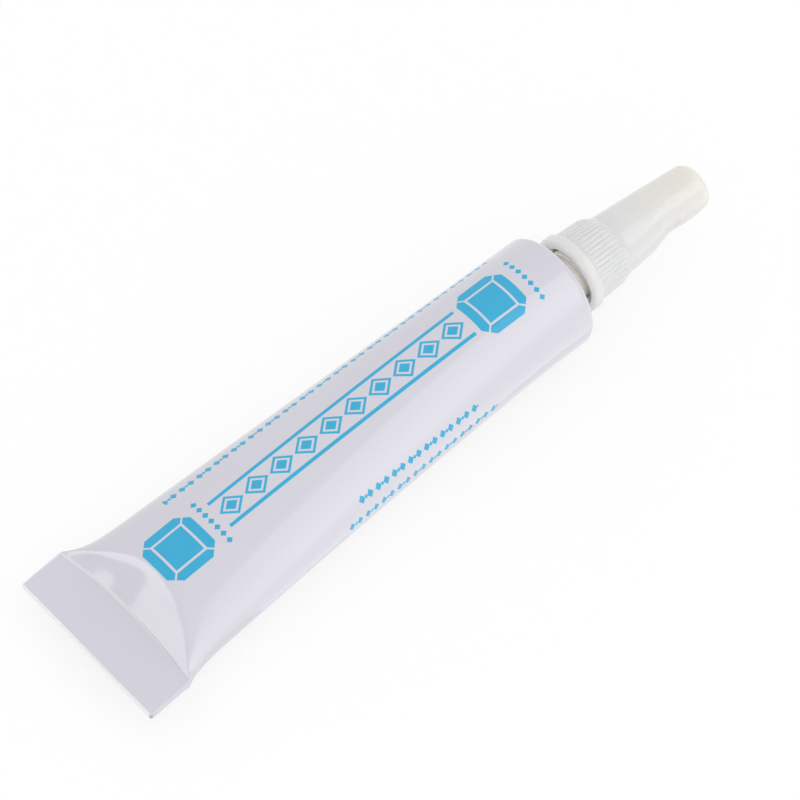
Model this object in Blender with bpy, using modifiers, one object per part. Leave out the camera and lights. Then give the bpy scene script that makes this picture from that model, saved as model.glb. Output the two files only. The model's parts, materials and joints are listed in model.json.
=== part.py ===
"""A tube of fine-point jewelry glue on its side: folded aluminium tube, needle, screw cap with a pin wire."""

from math import atan2, ceil, cos, hypot, pi, sin, sqrt, tau

import bmesh
import bpy

# Tube, in metres: X runs from the folded tail to the cap, Z is the height over the table
TUBE_RADIUS = 0.0080
TUBE_LENGTH = 0.0774
WALL = 0.00025
SHOULDER_RADIUS = 0.0010
SHOULDER_RISE = 0.0006
SHOULDER_THICKNESS = 0.0006
ROUND_LENGTH = 0.0064
TAPER_SPREAD = 0.00285
TAPER_POWER = 1.2
REST_FLAT = 0.00015

# Folded tail and the dished ramp beside it
FOLD_DEPTH = 0.0065
FOLD_LAYERS = 4
FOLD_BOW = 0.00105
FOLD_CORNER = 0.0010
FOLD_EDGE = 0.0002
FOLD_STEP = 0.00003
FLARE_LENGTH = 0.0035
FLARE_POWER = 1.5
RAMP_LENGTH = 0.0050
RAMP_SIDE_SHARE = 0.12
RAMP_ARCH_POWER = 1.4
RAMP_DISH_POWER = 1.15
RAMP_RUNOUT = 0.0025
RIM_SHARPNESS = 6.0

# Neck and its right-hand thread, heights from the shoulder's edge
NECK_ROOT_RADIUS = 0.00325
NECK_WALL = 0.00075
NECK_LENGTH = 0.0078
NECK_PLAIN = 0.0028
NECK_CHAMFER = 0.0004
THREAD_PITCH = 0.0020
THREAD_RISE = 0.00045
THREAD_CREST_SHARE = 0.25
THREAD_FLANK_SHARE = 0.25
THREAD_RINGS_PER_PITCH = 6

# Needle hub, needle and pin wire
HUB_PLUG_DEPTH = 0.0048
HUB_FLANGE_INSET = 0.00015
HUB_FLANGE_HEIGHT = 0.0007
HUB_CONE_HEIGHT = 0.0027
HUB_TIP_WALL = 0.0005
NEEDLE_RADIUS = 0.0006
NEEDLE_WALL = 0.0002
NEEDLE_SETBACK = 0.0005
NEEDLE_LENGTH = 0.0176
WIRE_RADIUS = 0.00015
WIRE_REACH = 0.0009

# Screw cap
CAP_GAP = 0.0025
COLLAR_WALL = 0.00115
COLLAR_DRAFT = 0.00015
COLLAR_ROOF = 0.0007
DOME_ROUND = 0.0006
DOME_RISE = 0.0014
DOME_LEDGE = 0.00013
LIP_WIDTH = 0.00045
LIP_HEIGHT = 0.0015
LIP_ROUND = 0.0004
LIP_GROOVE = 0.0004
RIBS = 48
RIB_DEPTH = 0.00018
SHAFT_DRAFT = 0.00025
SHAFT_STEP = 0.00046
SHAFT_STEP_LENGTH = 0.0026
NARROW_LENGTH = 0.0080
NARROW_DRAFT = 0.00009
TIP_ROUND = 0.0015
MOUTH_RELIEF = 0.0003
MOUTH_DEPTH = 0.0008
SEAT_CLEARANCE = 0.0004
SEAT_SLOPE = 0.0010
SHAFT_WALL = 0.00116
BORE_DRAFT = 0.0003
NEEDLE_HEADROOM = 0.0016
CAP_END_THICKNESS = 0.00265
WIRE_SOCKET_DEPTH = 0.0011

# Clearances
FIT_GAP = 0.0003
THREAD_GAP = 0.0003
CUT_OVERRUN = 0.0005

# Roundness
BODY_HALF_SIDES = 30
BODY_SIDES = 2 * BODY_HALF_SIDES
BODY_STATIONS = 11
RAMP_RINGS = 4
SOLID_RAMP_RINGS = 1
RUNOUT_RINGS = 3
SHOULDER_STEPS = 4
INNER_HALF_SIDES = 20
INNER_SIDES = 2 * INNER_HALF_SIDES
NECK_SIDES = 36
HUB_SIDES = 36
NEEDLE_SIDES = 20
CAP_SIDES = 2 * RIBS
DOME_STEPS = 4
TIP_STEPS = 5
LIP_STEPS = 2
WIRE_BEVEL_STEPS = 2
SHARP_ANGLE = pi / 5
MERGE_DISTANCE = 0.00001
HALVINGS = 40

# Tube, worked out from the sizes above
ROUND_FROM = TUBE_LENGTH - ROUND_LENGTH
TAPER_FROM = FOLD_DEPTH + FLARE_LENGTH
RAMP_APEX = FOLD_DEPTH + RAMP_LENGTH
STRAIGHT_FROM = RAMP_APEX + RAMP_RUNOUT
FOLD_THICKNESS = FOLD_LAYERS * WALL
FOLD_HALF_WIDTH = (pi * TUBE_RADIUS - WALL) / 2
AXIS_HEIGHT = TUBE_RADIUS - REST_FLAT

# Neck, hub and needle, heights from the shoulder's edge
THREAD_END = NECK_LENGTH - NECK_CHAMFER
NECK_BORE_RADIUS = NECK_ROOT_RADIUS - NECK_WALL
HUB_SEAT = NECK_LENGTH + FIT_GAP
HUB_FLANGE_TOP = HUB_SEAT + HUB_FLANGE_HEIGHT
HUB_TIP = HUB_FLANGE_TOP + HUB_CONE_HEIGHT
HUB_FOOT = HUB_SEAT - HUB_PLUG_DEPTH
NEEDLE_FOOT = HUB_FOOT + NEEDLE_SETBACK
NEEDLE_TOP = NEEDLE_FOOT + NEEDLE_LENGTH

# Cap, heights from its lower face
CAP_THREAD_ROOT = NECK_ROOT_RADIUS + THREAD_GAP
CAP_THREAD_OUTER = CAP_THREAD_ROOT + THREAD_RISE
COLLAR_FOOT_RADIUS = CAP_THREAD_OUTER + COLLAR_WALL
COLLAR_TOP_RADIUS = COLLAR_FOOT_RADIUS - COLLAR_DRAFT
LIP_RADIUS = COLLAR_FOOT_RADIUS + LIP_WIDTH
DOME_RADIUS = COLLAR_TOP_RADIUS - DOME_ROUND
SHAFT_FOOT_RADIUS = DOME_RADIUS - DOME_LEDGE
SHAFT_WAIST_RADIUS = SHAFT_FOOT_RADIUS - SHAFT_DRAFT
NARROW_RADIUS = SHAFT_WAIST_RADIUS - SHAFT_STEP
TIP_RADIUS = NARROW_RADIUS - NARROW_DRAFT
BORE_RADIUS = NARROW_RADIUS - SHAFT_WALL
COLLAR_FOOT = LIP_HEIGHT + LIP_GROOVE
CAP_SEAT = HUB_FLANGE_TOP - CAP_GAP + SEAT_CLEARANCE
DOME_TOP = CAP_SEAT + COLLAR_ROOF
COLLAR_TOP = DOME_TOP - DOME_RISE
BORE_TOP = NEEDLE_TOP - CAP_GAP + NEEDLE_HEADROOM
CAP_LENGTH = BORE_TOP + CAP_END_THICKNESS
NARROW_FROM = CAP_LENGTH - NARROW_LENGTH
SHAFT_WAIST = NARROW_FROM - SHAFT_STEP_LENGTH
WIRE_SOCKET_TOP = BORE_TOP + WIRE_SOCKET_DEPTH
WIRE_TOP = WIRE_SOCKET_TOP - FIT_GAP
WIRE_FOOT = HUB_TIP - WIRE_REACH - CAP_GAP

LENGTH = TUBE_LENGTH + CAP_GAP + CAP_LENGTH
TAIL_X = -LENGTH / 2


def clear_scene():
    for obj in list(bpy.data.objects):
        bpy.data.objects.remove(obj, do_unlink=True)


def new_collection(name):
    collection = bpy.data.collections.new(name)
    bpy.context.scene.collection.children.link(collection)
    return collection


def material(name, colour, roughness, metallic=0.0, transmission=0.0):
    made = bpy.data.materials.new(name)
    made.use_nodes = True
    shader = made.node_tree.nodes["Principled BSDF"]
    shader.inputs["Base Color"].default_value = (*colour, 1.0)
    shader.inputs["Roughness"].default_value = roughness
    shader.inputs["Metallic"].default_value = metallic
    shader.inputs["Transmission Weight"].default_value = transmission
    return made


def new_object(name, mesh, collection, parent=None):
    obj = bpy.data.objects.new(name, mesh)
    obj.parent = parent
    collection.objects.link(obj)
    return obj


def new_empty(name, collection, x):
    """An empty on the tube's axis, whose own Z runs along it towards the cap."""
    empty = bpy.data.objects.new(name, None)
    empty.location = (x, 0.0, AXIS_HEIGHT)
    empty.rotation_euler = (0.0, pi / 2, 0.0)
    empty.empty_display_size = TUBE_RADIUS
    collection.objects.link(empty)
    return empty


def smooth(obj):
    obj.data.shade_smooth()
    obj.data.set_sharp_from_angle(angle=SHARP_ANGLE)


def as_cutter(obj):
    obj.hide_render = True
    obj.display_type = "WIRE"
    return obj


def boolean(obj, other, operation):
    modifier = obj.modifiers.new(operation.title() + " " + other.name, "BOOLEAN")
    modifier.operation = operation
    modifier.object = other
    modifier.solver = "EXACT"


def arc(centre_radius, centre_height, radius, start, end, steps):
    """(radius, height) points of a round edge, angles from the outward direction."""
    turns = [start + (end - start) * i / steps for i in range(steps + 1)]
    return [(centre_radius + radius * cos(t), centre_height + radius * sin(t)) for t in turns]


def turned(name, profile, sides, collection, parent=None, closed=False):
    """Turns a profile of (radius, height) points about the parent's Z; it runs down its outer side."""
    mesh = bpy.data.meshes.new(name)
    edges = [(i, i + 1) for i in range(len(profile) - 1)]
    if closed:
        edges.append((len(profile) - 1, 0))
    mesh.from_pydata([(radius, 0.0, height) for radius, height in profile], edges, [])
    obj = new_object(name, mesh, collection, parent)
    screw = obj.modifiers.new("Turn", "SCREW")
    screw.axis = "Z"
    screw.steps = sides
    screw.render_steps = sides
    screw.use_merge_vertices = True
    screw.merge_threshold = MERGE_DISTANCE
    screw.use_smooth_shade = True
    return obj


def freeze(obj):
    """Makes the modifiers' result the object's own mesh, so that its points can be moved."""
    bpy.context.view_layer.update()
    graph = bpy.context.evaluated_depsgraph_get()
    mesh = bpy.data.meshes.new_from_object(obj.evaluated_get(graph))
    obj.modifiers.clear()
    obj.data = mesh


def loft(name, rings, collection):
    """A closed skin over rings of equal point count, each ring the same on its upper and lower halves."""
    count = len(rings[0])
    bm = bmesh.new()
    points = [[bm.verts.new(point) for point in ring] for ring in rings]
    for near, far in zip(points, points[1:]):
        for i in range(count):
            j = (i + 1) % count
            bm.faces.new((near[i], near[j], far[j], far[i]))
    for ring in (points[0], points[-1]):
        bm.faces.new((ring[0], ring[1], ring[-1]))
        for i in range(1, count // 2 - 1):
            bm.faces.new((ring[i], ring[i + 1], ring[-i - 1], ring[-i]))
        middle = count // 2
        bm.faces.new((ring[middle - 1], ring[middle], ring[middle + 1]))
    bmesh.ops.recalc_face_normals(bm, faces=bm.faces)
    mesh = bpy.data.meshes.new(name)
    bm.to_mesh(mesh)
    bm.free()
    obj = new_object(name, mesh, collection)
    obj.location = (TAIL_X, 0.0, 0.0)
    return obj


def perimeter(a, b):
    """Ramanujan's perimeter of an ellipse with half-axes a and b."""
    return pi * (3 * (a + b) - sqrt((3 * a + b) * (a + 3 * b)))


def half_height(half_width):
    """Half-height of the section: the sheet doesn't stretch, so every section keeps the tube's perimeter."""
    low, high = 0.0, TUBE_RADIUS
    for _ in range(HALVINGS):
        middle = (low + high) / 2
        if perimeter(half_width, middle) < tau * TUBE_RADIUS:
            low = middle
        else:
            high = middle
    return low


def taper_half_width(x):
    share = max(0.0, (ROUND_FROM - x) / (ROUND_FROM - TAPER_FROM))
    return TUBE_RADIUS + TAPER_SPREAD * share**TAPER_POWER


def half_width(x):
    """Half the tube's width: it tapers to the round end and flares quickly to the width of the fold."""
    if x >= TAPER_FROM:
        return taper_half_width(x)
    share = min(1.0, (TAPER_FROM - x) / (TAPER_FROM - FOLD_DEPTH))
    end = taper_half_width(TAPER_FROM)
    return end + (FOLD_HALF_WIDTH - end) * share**FLARE_POWER


def body_half_height(x):
    return half_height(taper_half_width(max(x, TAPER_FROM)))


def middle_height(x):
    """Height of the section's middle, with the underside lying on the table."""
    return body_half_height(x) - REST_FLAT


def turn_angles(sides):
    return [tau * i / sides for i in range(sides)]


def fold_edge(turn):
    """Where the folded layer ends beside the ramp: bowed, with rounded corners."""
    across = cos(turn)
    edge = FOLD_DEPTH + FOLD_BOW * (1 - across**2)
    into_corner = 1 - (1 - abs(across)) * FOLD_HALF_WIDTH / FOLD_CORNER
    if into_corner > 0:
        edge -= FOLD_CORNER * (1 - sqrt(1 - into_corner**2))
    return edge


def crease(turn):
    """Where the ramp meets the body: an arch from one inner corner of the fold to the other."""
    share = RAMP_SIDE_SHARE + (1 - RAMP_SIDE_SHARE) * abs(sin(turn)) ** RAMP_ARCH_POWER
    return fold_edge(turn) + share * (RAMP_APEX - fold_edge(turn))


def flat_side(turn):
    """-1 to 1: a flat plate's height around a section, with a narrow rounded rim."""
    return max(-1.0, min(1.0, RIM_SHARPNESS * sin(turn)))


def plate_ring(x_of, middle, half_thickness, narrowing, sides):
    ring = []
    for turn in turn_angles(sides):
        y = (FOLD_HALF_WIDTH - narrowing) * cos(turn)
        ring.append((x_of(turn), y, middle + half_thickness * flat_side(turn)))
    return ring


def ramp_ring(share, inset, sides):
    """A ring across the ramp: share 0 is the edge of the fold, 1 the crease."""
    ring = []
    rise = share**RAMP_DISH_POWER
    full = body_half_height(0.0)
    peak = WALL + rise * (full - WALL)
    for turn in turn_angles(sides):
        x = fold_edge(turn) + share * (crease(turn) - fold_edge(turn)) + inset
        flat = WALL * flat_side(turn)
        height = flat + rise * (full * sin(turn) - flat)
        y = (half_width(x) - inset) * cos(turn)
        z = middle_height(0.0) + height * (1 - inset / peak)
        ring.append((x, y, max(z, inset)))
    return ring


def body_ring(x_of, inset, sides):
    ring = []
    for turn in turn_angles(sides):
        x = x_of(turn)
        y = (half_width(x) - inset) * cos(turn)
        z = middle_height(x) + (body_half_height(x) - inset) * sin(turn)
        ring.append((x, y, max(z, inset)))
    return ring


def after_crease(share, end, inset):
    """Places that go from the arched crease to a straight station."""
    return lambda turn: crease(turn) + inset + share * (end - crease(turn) - inset)


def at(x):
    return lambda turn: x


def steps_after(first, count):
    """Shares of a run that is cut in count equal steps, leaving out the first ones."""
    return [i / count for i in range(first + 1, count + 1)]


def tapered_rings(ramp_shares, inset, sides):
    """Rings from the ramp, or from the crease where ramp_shares is empty, to the end of the tapered body."""
    rings = [ramp_ring(share, inset, sides) for share in ramp_shares]
    for share in steps_after(0, RUNOUT_RINGS):
        rings.append(body_ring(after_crease(share, STRAIGHT_FROM, inset), inset, sides))
    for share in steps_after(0, BODY_STATIONS):
        rings.append(body_ring(at(STRAIGHT_FROM + share * (ROUND_FROM - STRAIGHT_FROM)), inset, sides))
    return rings


def shoulder_rings(inset, drop, neck_radius, sides):
    """Rings round the shoulder's edge and up its cone, at a depth of drop inside the outer face."""
    corner = SHOULDER_RADIUS - inset
    edge_x = TUBE_LENGTH - drop - corner
    rings = []
    for i in range(SHOULDER_STEPS + 1):
        turn = pi / 2 * i / SHOULDER_STEPS
        radius = TUBE_RADIUS - SHOULDER_RADIUS + corner * cos(turn)
        rings.append(round_ring(edge_x + corner * sin(turn), radius, inset, sides))
    rings.append(round_ring(TUBE_LENGTH - drop + SHOULDER_RISE, neck_radius, inset, sides))
    return rings


def round_ring(x, radius, floor, sides):
    return [(x, radius * cos(t), max(AXIS_HEIGHT + radius * sin(t), floor)) for t in turn_angles(sides)]


def thread_share(height, turn):
    """0 at the root and 1 on the crest of a right-hand thread."""
    from_crest = abs((height / THREAD_PITCH - turn / tau) % 1.0 - 0.5)
    return max(0.0, min(1.0, (THREAD_CREST_SHARE / 2 + THREAD_FLANK_SHARE - from_crest) / THREAD_FLANK_SHARE))


def thread_heights():
    """Ring heights over the shoulder's edge, shared by the neck and the cap so that their facets agree."""
    count = ceil((THREAD_END - NECK_PLAIN) / THREAD_PITCH * THREAD_RINGS_PER_PITCH)
    return [NECK_PLAIN + (THREAD_END - NECK_PLAIN) * i / count for i in range(count + 1)]


def raise_thread(obj, over_shoulder, low, high):
    """Moves the points between two heights over the shoulder out along the helix."""
    for vertex in obj.data.vertices:
        x, y, z = vertex.co
        height = z + over_shoulder
        radius = hypot(x, y)
        if low < height < high and radius > NECK_BORE_RADIUS:
            # The parent turns local X to the world's -Z, so the angle about the tube's axis is taken there
            turn = atan2(-x, y)
            grown = radius + THREAD_RISE * thread_share(height, turn)
            vertex.co = (x * grown / radius, y * grown / radius, z)


def build_tube(parts, cutters, axis):
    fold_middle = middle_height(0.0) - WALL + FOLD_THICKNESS / 2
    half_fold = FOLD_THICKNESS / 2
    rings = [
        plate_ring(at(0.0), fold_middle, half_fold - FOLD_EDGE, FOLD_EDGE, BODY_SIDES),
        plate_ring(at(FOLD_EDGE), fold_middle, half_fold, 0.0, BODY_SIDES),
        plate_ring(lambda turn: fold_edge(turn) - FOLD_STEP, fold_middle, half_fold, 0.0, BODY_SIDES),
        plate_ring(fold_edge, middle_height(0.0), WALL, 0.0, BODY_SIDES),
    ]
    rings += tapered_rings(steps_after(0, RAMP_RINGS), 0.0, BODY_SIDES)
    rings += shoulder_rings(0.0, 0.0, NECK_ROOT_RADIUS - NECK_WALL / 2, BODY_SIDES)
    tube = loft("tube_body", rings, parts)

    heights = thread_heights()
    profile = [(0.0, NECK_LENGTH), (NECK_ROOT_RADIUS - NECK_CHAMFER, NECK_LENGTH)]
    profile += [(NECK_ROOT_RADIUS, height) for height in reversed(heights)]
    profile += [(NECK_ROOT_RADIUS, -SHOULDER_THICKNESS / 2), (0.0, -SHOULDER_THICKNESS / 2)]
    neck = as_cutter(turned("neck_thread", profile, NECK_SIDES, cutters, axis))
    freeze(neck)
    raise_thread(neck, 0.0, NECK_PLAIN, THREAD_END)
    boolean(tube, neck, "UNION")

    hollow = tapered_rings(steps_after(SOLID_RAMP_RINGS, RAMP_RINGS), WALL, INNER_SIDES)
    hollow += shoulder_rings(WALL, SHOULDER_THICKNESS, NECK_BORE_RADIUS / 2, INNER_SIDES)
    boolean(tube, as_cutter(loft("tube_hollow", hollow, cutters)), "DIFFERENCE")

    bore_top = NECK_LENGTH + CUT_OVERRUN
    bore_foot = -SHOULDER_THICKNESS - CUT_OVERRUN
    profile = [(0.0, bore_top), (NECK_BORE_RADIUS, bore_top), (NECK_BORE_RADIUS, bore_foot), (0.0, bore_foot)]
    bore = as_cutter(turned("neck_bore", profile, NECK_SIDES, cutters, axis))
    # Half a facet round, so that its corners miss the neck's
    bore.rotation_euler.z = pi / NECK_SIDES
    boolean(tube, bore, "DIFFERENCE")
    smooth(tube)
    tube.data.materials.append(material("white_lacquer", (0.80, 0.79, 0.85), 0.25))


def build_fill(parts):
    inset = WALL + FIT_GAP
    rings = tapered_rings((), inset, INNER_SIDES)
    rings += shoulder_rings(inset, SHOULDER_THICKNESS + FIT_GAP, NECK_BORE_RADIUS / 2, INNER_SIDES)
    fill = loft("adhesive_fill", rings, parts)
    smooth(fill)
    fill.data.materials.append(material("clear_glue", (0.85, 0.82, 0.70), 0.1, transmission=0.6))


def build_hub(parts, axis):
    plug_radius = NECK_BORE_RADIUS - FIT_GAP
    flange_radius = NECK_ROOT_RADIUS - HUB_FLANGE_INSET
    hole_radius = NEEDLE_RADIUS + FIT_GAP
    profile = [
        (hole_radius, HUB_TIP),
        (hole_radius + HUB_TIP_WALL, HUB_TIP),
        (plug_radius, HUB_FLANGE_TOP),
        (flange_radius, HUB_FLANGE_TOP),
        (flange_radius, HUB_SEAT),
        (plug_radius, HUB_SEAT),
        (plug_radius, HUB_FOOT),
        (hole_radius, HUB_FOOT),
    ]
    hub = turned("needle_hub", profile, HUB_SIDES, parts, axis, closed=True)
    hub.data.materials.append(material("hub_plastic", (0.75, 0.75, 0.73), 0.4))


def build_needle(parts, axis):
    bore_radius = NEEDLE_RADIUS - NEEDLE_WALL
    profile = [
        (bore_radius, NEEDLE_TOP),
        (NEEDLE_RADIUS, NEEDLE_TOP),
        (NEEDLE_RADIUS, NEEDLE_FOOT),
        (bore_radius, NEEDLE_FOOT),
    ]
    needle = turned("dispensing_needle", profile, NEEDLE_SIDES, parts, axis, closed=True)
    needle.data.materials.append(material("needle_steel", (0.62, 0.62, 0.62), 0.25, metallic=1.0))


def cap_profile():
    """The cap's outside, from the middle of its end down to the middle of its lower face."""
    points = [(0.0, CAP_LENGTH)]
    points += reversed(arc(TIP_RADIUS - TIP_ROUND, CAP_LENGTH - TIP_ROUND, TIP_ROUND, 0.0, pi / 2, TIP_STEPS))
    points += [(NARROW_RADIUS, NARROW_FROM), (SHAFT_WAIST_RADIUS, SHAFT_WAIST), (SHAFT_FOOT_RADIUS, DOME_TOP)]
    for step in range(DOME_STEPS, 0, -1):
        turn = pi / 2 * step / DOME_STEPS
        points.append((DOME_RADIUS + DOME_ROUND * cos(turn), COLLAR_TOP + DOME_RISE * sin(turn)))
    points += [(COLLAR_TOP_RADIUS, COLLAR_TOP), (COLLAR_FOOT_RADIUS, COLLAR_FOOT)]
    points.append((COLLAR_FOOT_RADIUS, LIP_HEIGHT))
    points += reversed(arc(LIP_RADIUS - LIP_ROUND, LIP_HEIGHT - LIP_ROUND, LIP_ROUND, 0.0, pi / 2, LIP_STEPS))
    points += reversed(arc(LIP_RADIUS - LIP_ROUND, LIP_ROUND, LIP_ROUND, -pi / 2, 0.0, LIP_STEPS))
    points.append((0.0, 0.0))
    return points


def cut_ribs(cap):
    """Sinks every second line of the collar, so that it stands in fine upright ribs."""
    step = tau / CAP_SIDES
    for vertex in cap.data.vertices:
        x, y, z = vertex.co
        radius = hypot(x, y)
        on_collar = COLLAR_FOOT <= z <= COLLAR_TOP and radius > DOME_RADIUS
        if on_collar and round(atan2(y, x) / step) % 2:
            sunk = radius - RIB_DEPTH
            vertex.co = (x * sunk / radius, y * sunk / radius, z)


def build_cap(parts, cutters, axis):
    cap = turned("screw_cap", cap_profile(), CAP_SIDES, parts, axis)
    freeze(cap)
    cut_ribs(cap)

    socket_radius = WIRE_RADIUS + FIT_GAP
    mouth_radius = CAP_THREAD_OUTER + MOUTH_RELIEF
    heights = [height - CAP_GAP for height in thread_heights()]
    heights = [height for height in heights if height > MOUTH_DEPTH]
    profile = [
        (0.0, WIRE_SOCKET_TOP),
        (socket_radius, WIRE_SOCKET_TOP),
        (socket_radius, BORE_TOP),
        (BORE_RADIUS - BORE_DRAFT, BORE_TOP),
        (BORE_RADIUS, CAP_SEAT + SEAT_SLOPE),
        (CAP_THREAD_ROOT, CAP_SEAT),
    ]
    profile += [(CAP_THREAD_ROOT, height) for height in reversed(heights)]
    profile += [(mouth_radius, MOUTH_DEPTH), (mouth_radius, -CUT_OVERRUN), (0.0, -CUT_OVERRUN)]
    bore = as_cutter(turned("cap_bore", profile, NECK_SIDES, cutters, axis))
    freeze(bore)
    raise_thread(bore, CAP_GAP, CAP_GAP + MOUTH_DEPTH, CAP_GAP + CAP_SEAT)
    boolean(cap, bore, "DIFFERENCE")
    smooth(cap)
    cap.data.materials.append(material("milky_plastic", (0.80, 0.79, 0.73), 0.35, transmission=0.2))


def build_wire(parts, axis):
    curve = bpy.data.curves.new("cap_pin_wire", "CURVE")
    curve.dimensions = "3D"
    curve.bevel_depth = WIRE_RADIUS
    curve.bevel_resolution = WIRE_BEVEL_STEPS
    curve.use_fill_caps = True
    spline = curve.splines.new("POLY")
    spline.points.add(1)
    spline.points[0].co = (0.0, 0.0, WIRE_FOOT, 1.0)
    spline.points[1].co = (0.0, 0.0, WIRE_TOP, 1.0)
    wire = new_object("cap_pin_wire", curve, parts, axis)
    wire.data.materials.append(material("wire_steel", (0.55, 0.55, 0.56), 0.3, metallic=1.0))


def main():
    clear_scene()
    parts = new_collection("jewelry_glue_tube")
    cutters = new_collection("cutters")
    neck_axis = new_empty("neck_axis", parts, TAIL_X + TUBE_LENGTH)
    cap_axis = new_empty("cap_axis", parts, TAIL_X + TUBE_LENGTH + CAP_GAP)
    build_tube(parts, cutters, neck_axis)
    build_fill(parts)
    build_hub(parts, neck_axis)
    build_needle(parts, neck_axis)
    build_cap(parts, cutters, cap_axis)
    build_wire(parts, cap_axis)


main()
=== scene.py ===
"""Looks of a tube of jewelry glue: lacquered folded tube with a printed label, needle, milky screw cap."""

import json
from math import asin, atan2, cos, exp, hypot, pi, radians, sin, sqrt, tan, tau

import bmesh
import bpy
from mathutils import Matrix, Vector

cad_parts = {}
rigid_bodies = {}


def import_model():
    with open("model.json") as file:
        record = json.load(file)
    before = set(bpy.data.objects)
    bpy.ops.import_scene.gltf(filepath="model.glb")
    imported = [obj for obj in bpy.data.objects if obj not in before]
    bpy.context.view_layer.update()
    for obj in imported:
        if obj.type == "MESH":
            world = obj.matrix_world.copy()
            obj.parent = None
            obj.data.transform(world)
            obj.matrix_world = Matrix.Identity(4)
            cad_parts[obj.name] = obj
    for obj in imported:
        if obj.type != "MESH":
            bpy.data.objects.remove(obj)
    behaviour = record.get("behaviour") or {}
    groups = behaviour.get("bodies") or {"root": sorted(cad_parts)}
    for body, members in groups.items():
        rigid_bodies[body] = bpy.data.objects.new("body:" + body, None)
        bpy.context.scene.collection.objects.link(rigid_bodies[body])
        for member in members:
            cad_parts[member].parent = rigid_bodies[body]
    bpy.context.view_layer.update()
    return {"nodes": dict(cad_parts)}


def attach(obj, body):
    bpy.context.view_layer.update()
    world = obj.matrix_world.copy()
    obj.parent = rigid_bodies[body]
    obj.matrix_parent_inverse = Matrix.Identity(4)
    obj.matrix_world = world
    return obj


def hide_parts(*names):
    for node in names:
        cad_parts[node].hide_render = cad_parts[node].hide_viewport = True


# Tube, in metres from its folded tail: X runs to the cap, Z is the height over the table
TUBE_RADIUS = 0.0080
TUBE_LENGTH = 0.0774
WALL = 0.00025
SHOULDER_RADIUS = 0.0010
SHOULDER_RISE = 0.0006
ROUND_LENGTH = 0.0064
TAPER_SPREAD = 0.00285
TAPER_POWER = 1.2
REST_FLAT = 0.00015
HALVINGS = 40

# Folded tail and the dished ramp beside it
FOLD_DEPTH = 0.0065
FOLD_LAYERS = 4
FOLD_BOW = 0.00105
FOLD_CORNER = 0.0010
FOLD_TAIL_ROUND = 0.00042
FOLD_INNER_ROUND = 0.00012
FOLD_INNER_DROP = 0.00003
FOLD_LIFT_REACH = 0.0025
FOLD_STEP = 0.00003
FOLD_WAVE = 0.00005
FOLD_WAVE_TURN = 430.0
FOLD_WAVE_START = 0.8
EDGE_LINE = 0.00018
FOLD_SKEW_TAIL = -0.00036
FOLD_SKEW_INNER = 0.0002
LAYER_GROOVE = 0.00005
LAYER_GROOVE_WIDTH = 0.11
FLARE_LENGTH = 0.0035
FLARE_POWER = 1.5
NEAR_FLARE_POWER = 3.0
NEAR_SIDE_SHARPNESS = 2.0
RAMP_LENGTH = 0.0050
RAMP_SIDE_SHARE = 0.12
RAMP_ARCH_POWER = 1.4
RAMP_DISH_POWER = 1.06
RAMP_RUNOUT = 0.0025
RIM_SHARPNESS = 6.0
# Shallow swellings of the ramp: (share of its run, place across, height, reach along, reach across)
RAMP_SWELLS = (
    (0.05, 0.0039, 0.00014, 0.30, 0.0022),
    (0.80, 0.0012, -0.00010, 0.60, 0.0026),
    (0.35, 0.0083, -0.00006, 0.50, 0.0022),
)

# Neck and its right-hand thread, heights from the shoulder's edge
NECK_ROOT_RADIUS = 0.00325
NECK_WALL = 0.00075
NECK_LENGTH = 0.0078
NECK_PLAIN = 0.0028
NECK_FROST_TOP = 0.0034
NECK_CHAMFER = 0.0004
NECK_FILLET = 0.0003
THREAD_PITCH = 0.0020
THREAD_RISE = 0.00045
THREAD_CREST_SHARE = 0.25
THREAD_FLANK_SHARE = 0.25
THREAD_RUNOUT = 0.0004

# Needle hub, needle and pin wire
HUB_PLUG_DEPTH = 0.0048
HUB_FLANGE_INSET = 0.00015
HUB_FLANGE_HEIGHT = 0.0007
HUB_CONE_HEIGHT = 0.0027
HUB_TIP_WALL = 0.0005
HUB_ROUND = 0.00015
NEEDLE_RADIUS = 0.0006
NEEDLE_WALL = 0.0002
NEEDLE_SETBACK = 0.0005
NEEDLE_LENGTH = 0.0176
NEEDLE_ROUND = 0.00006
WIRE_RADIUS = 0.00015
WIRE_REACH = 0.0009
WIRE_ROUND = 0.00005

# Screw cap, heights from its lower face
CAP_GAP = 0.0025
CAP_LENGTH = 0.02315
LIP_RADIUS = 0.0056
LIP_HEIGHT = 0.0015
LIP_ROUND = 0.00025
LIP_FOOT_ROUND = 0.00050
COLLAR_FOOT = 0.0019
COLLAR_FOOT_RADIUS = 0.00515
COLLAR_TOP = 0.0057
COLLAR_TOP_RADIUS = 0.0050
DOME_TOP = 0.0076
SHAFT_FOOT_RADIUS = 0.00437
SHAFT_TAPER = 0.0705
TIP_ROUND = 0.00125
TIP_SHARES = (0.02, 0.25, 0.5, 0.75, 0.95)
RIBS = 48
RIB_DEPTH = 0.00012
RIB_FADE = 0.0007
RIB_TOP = 0.0068
RIB_FOOT_SHARE = 0.3
RIB_SHARPNESS = 2.0
MOUTH_RADIUS = 0.0043
MOUTH_DEPTH = 0.0008
MOUTH_ROUND = 0.00035
CAP_THREAD_ROOT = 0.00355
CAP_SEAT = 0.0067
SEAT_SLOPE = 0.0010
BORE_RADIUS = 0.0024
BORE_DRAFT = 0.0003
BORE_TOP = 0.0205
SOCKET_RADIUS = 0.00045
SOCKET_TOP = 0.0216
FIT_GAP = 0.0003

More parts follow.
